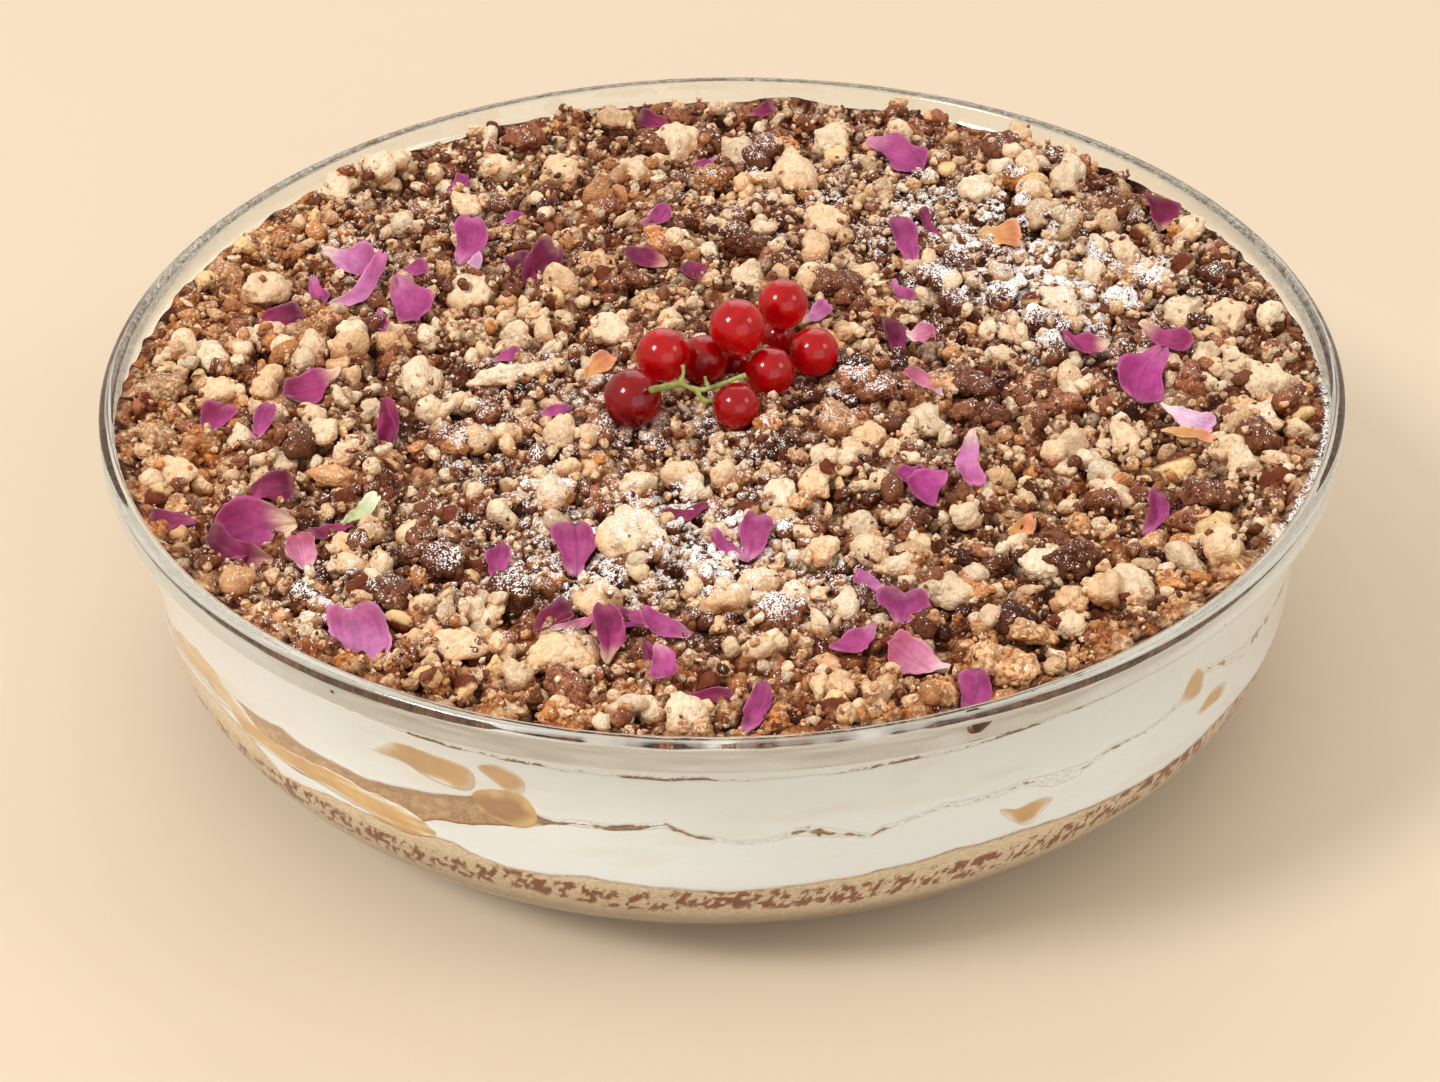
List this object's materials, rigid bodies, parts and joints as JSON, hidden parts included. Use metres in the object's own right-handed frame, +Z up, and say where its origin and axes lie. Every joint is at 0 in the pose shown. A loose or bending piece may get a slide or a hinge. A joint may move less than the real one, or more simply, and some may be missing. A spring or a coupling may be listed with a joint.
{
  "type": "trifle",
  "caption": "Layered trifle in a round clear glass bowl: crumb and cream layers with caramel, under a nut crumble heap with red currants and rose petals.",
  "frame": {"origin": "middle of the bowl's flat foot, on the surface that it stands on", "axes": "+Z up through the bowl, -Y towards the front, +X to the right"},
  "size_m": [0.24, 0.24, 0.0796],
  "materials": {
    "glass": "clear polished glass",
    "crumb": "damp biscuit crumb",
    "crumble": "baked nut crumble dusted with icing sugar",
    "cream": "smooth cream",
    "caramel": "soft caramel",
    "berry": "glossy translucent berry skin",
    "stem": "green stalk",
    "leaf": "pale dried leaf",
    "petal": "dried rose petal"
  },
  "bodies": {
    "root": {"bowl": "glass", "crumb_base": "crumb", "cream_lower": "cream", "crumb_middle": "crumb", "cream_upper": "cream", "caramel_band": "caramel", "caramel_patch_1": "caramel", "caramel_patch_2": "caramel", "caramel_patch_3": "caramel", "caramel_patch_4": "caramel", "crumble_top": "crumble", "berry_01": "berry", "berry_02": "berry", "berry_03": "berry", "berry_04": "berry", "berry_05": "berry", "berry_06": "berry", "berry_07": "berry", "berry_08": "berry", "berry_09": "berry", "berry_10": "berry", "currant_stem": "stem", "leaf": "leaf", "petal_01": "petal", "petal_02": "petal", "petal_03": "petal", "petal_04": "petal", "petal_05": "petal", "petal_06": "petal", "petal_07": "petal", "petal_08": "petal", "petal_09": "petal", "petal_10": "petal", "petal_11": "petal", "petal_12": "petal", "petal_13": "petal", "petal_14": "petal", "petal_15": "petal", "petal_16": "petal", "petal_17": "petal", "petal_18": "petal", "petal_19": "petal", "petal_20": "petal", "petal_21": "petal", "petal_22": "petal", "petal_23": "petal", "petal_24": "petal", "petal_25": "petal", "petal_26": "petal", "petal_27": "petal", "petal_28": "petal", "petal_29": "petal", "petal_30": "petal", "petal_31": "petal", "petal_32": "petal", "petal_33": "petal", "petal_34": "petal", "petal_35": "petal", "petal_36": "petal", "petal_37": "petal"}
  },
  "joints": []
}
